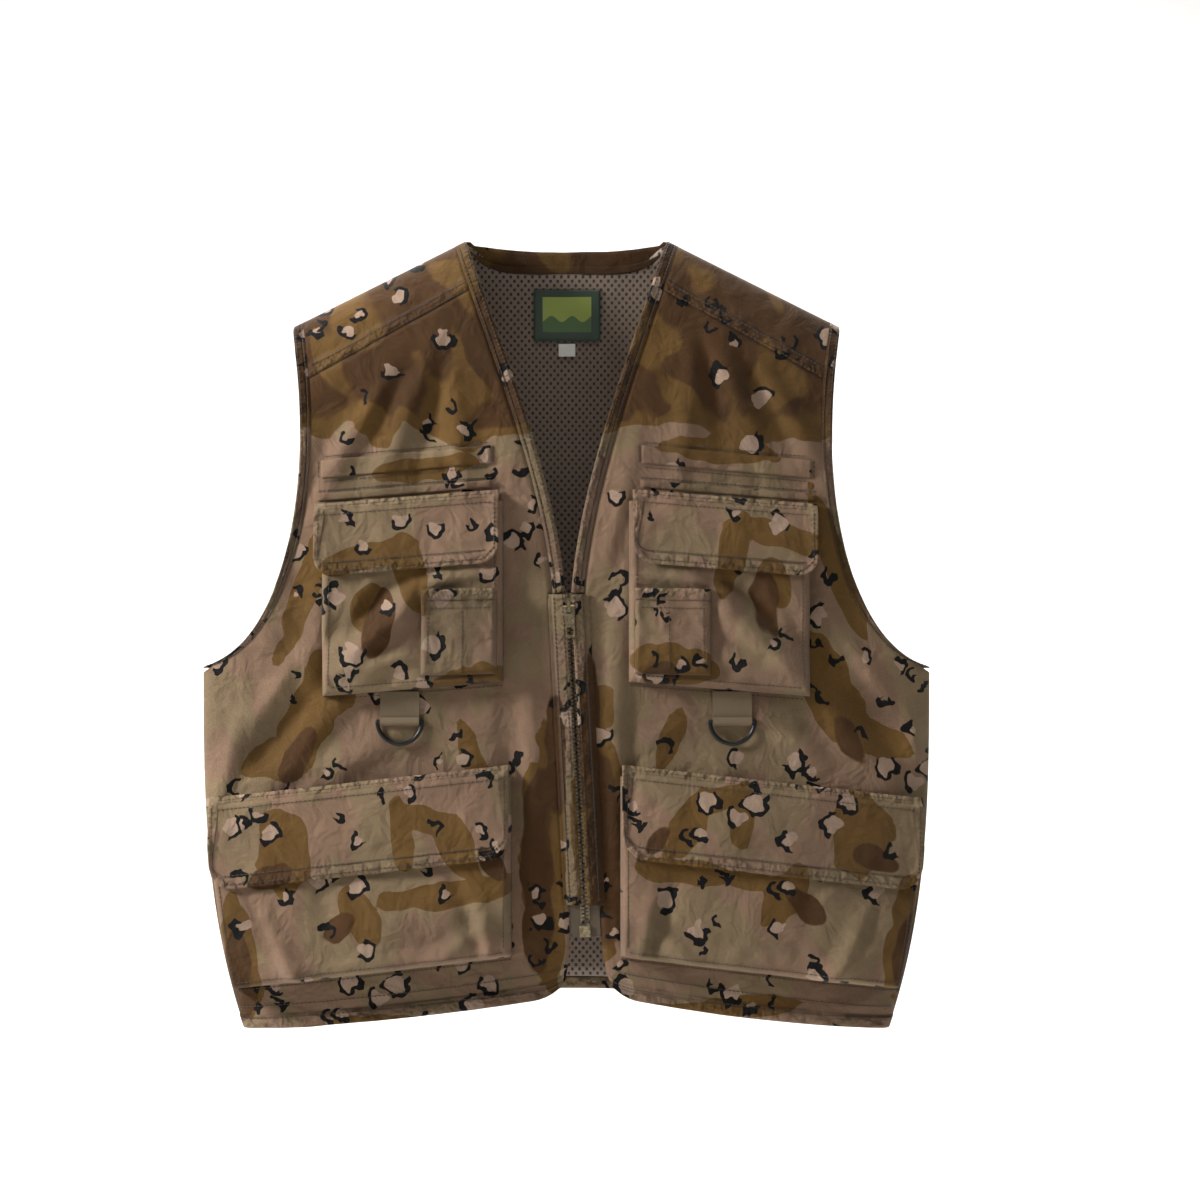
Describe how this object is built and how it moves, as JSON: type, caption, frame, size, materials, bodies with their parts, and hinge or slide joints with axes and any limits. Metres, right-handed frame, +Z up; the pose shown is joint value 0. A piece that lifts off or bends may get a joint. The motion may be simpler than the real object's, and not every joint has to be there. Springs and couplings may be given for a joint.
{
  "type": "multi-pocket utility vest",
  "caption": "Sleeveless zip-front utility vest in desert camouflage twill with mesh lining, flapped bellows pockets, pen pockets and D-rings, hanging empty.",
  "frame": {"origin": "level with the two neck points of the shoulders, midway between them, on the plane of the shoulder ridge, where the vest hangs", "axes": "+X to the wearer's left, -Y to the front, +Z up"},
  "size_m": [0.5168, 0.0789, 0.5584],
  "materials": {
    "camo_twill": "six-colour desert pattern cotton twill",
    "camo_trim": "the same twill, folded and stitched",
    "mesh": "tan-brown knitted mesh with diamond holes",
    "closure_tape": "black hook and loop tape",
    "zip_tape": "khaki woven zip tape",
    "zip_metal": "pale antique brass",
    "ring": "gloss black",
    "label": null,
    "size_tab": "white satin tab, blank"
  },
  "bodies": {
    "vest": {"front_panel_left": "camo_twill", "front_panel_right": "camo_twill", "back_panel": "camo_twill", "front_yoke_left": "camo_twill", "front_yoke_right": "camo_twill", "back_yoke": "camo_twill", "neck_binding_left": "camo_twill", "neck_binding_right": "camo_twill", "back_neck_facing": "camo_twill", "armhole_binding_left": "camo_twill", "armhole_binding_right": "camo_twill", "placket_left": "camo_twill", "placket_right": "camo_twill", "hem_front_left": "camo_twill", "hem_front_right": "camo_twill", "hem_back": "camo_twill", "mesh_lining_left": "mesh", "mesh_lining_right": "mesh", "mesh_lining_back": "mesh", "zip_tape_left": "zip_tape", "zip_tape_right": "zip_tape", "zip_teeth_left": "zip_metal", "zip_teeth_right": "zip_metal", "zip_top_stops": "zip_metal", "zip_retainer_box": "zip_metal", "zip_insert_pin": "zip_metal", "welt_left": "camo_twill", "welt_right": "camo_twill", "inner_bag_left": "mesh", "inner_bag_right": "mesh", "pocket_piping_left": "camo_trim", "pocket_piping_right": "camo_trim", "chest_pocket_left": "camo_twill", "chest_pocket_right": "camo_twill", "chest_loop_patch_left": "closure_tape", "chest_loop_patch_right": "closure_tape", "pen_pocket_left": "camo_twill", "pen_pocket_right": "camo_twill", "ring_tab_left": "camo_trim", "ring_tab_right": "camo_trim", "lower_pocket_left": "camo_twill", "lower_pocket_right": "camo_twill", "lower_loop_patch_left": "closure_tape", "lower_loop_patch_right": "closure_tape", "neck_label": "label", "size_tab": "size_tab"},
    "zip_slider": {"zip_slider": "zip_metal"},
    "zip_pull": {"zip_pull_tab": "zip_metal"},
    "chest_flap_left": {"chest_flap_left": "camo_twill", "chest_hook_patch_left": "closure_tape"},
    "lower_flap_left": {"lower_flap_left": "camo_twill", "lower_hook_patch_left": "closure_tape"},
    "d_ring_left": {"d_ring_left": "ring"},
    "chest_flap_right": {"chest_flap_right": "camo_twill", "chest_hook_patch_right": "closure_tape"},
    "lower_flap_right": {"lower_flap_right": "camo_twill", "lower_hook_patch_right": "closure_tape"},
    "d_ring_right": {"d_ring_right": "ring"}
  },
  "joints": [
    {"name": "zip_slide", "type": "slide", "parent": "vest", "child": "zip_slider", "axis": [0.0523, 0, -0.9986], "range_m": [0, 0.2175]},
    {"name": "pull_swing", "type": "hinge", "parent": "zip_slider", "child": "zip_pull", "pos_m": [0.00202, -0.0353, -0.25999], "axis": [-0.9986, 0, -0.0523], "range_deg": [0, 160]},
    {"name": "chest_flap_left_hinge", "type": "hinge", "parent": "vest", "child": "chest_flap_left", "pos_m": [0.047, -0.03224, -0.178], "axis": [-0.9968, -0.0086, 0.0797], "range_deg": [0, 115]},
    {"name": "lower_flap_left_hinge", "type": "hinge", "parent": "vest", "child": "lower_flap_left", "pos_m": [0.04, -0.03225, -0.371], "axis": [-0.9938, -0.0068, 0.1113], "range_deg": [0, 120]},
    {"name": "d_ring_left_swing", "type": "hinge", "parent": "vest", "child": "d_ring_left", "pos_m": [0.1165, -0.03296, -0.3406], "axis": [-1, 0, 0], "range_deg": [0, 120]},
    {"name": "chest_flap_right_hinge", "type": "hinge", "parent": "vest", "child": "chest_flap_right", "pos_m": [-0.047, -0.03224, -0.178], "axis": [-0.9968, 0.0086, -0.0797], "range_deg": [0, 115]},
    {"name": "lower_flap_right_hinge", "type": "hinge", "parent": "vest", "child": "lower_flap_right", "pos_m": [-0.04, -0.03225, -0.371], "axis": [-0.9938, 0.0068, -0.1113], "range_deg": [0, 120]},
    {"name": "d_ring_right_swing", "type": "hinge", "parent": "vest", "child": "d_ring_right", "pos_m": [-0.1165, -0.03296, -0.3406], "axis": [-1, 0, 0], "range_deg": [0, 120]}
  ]
}
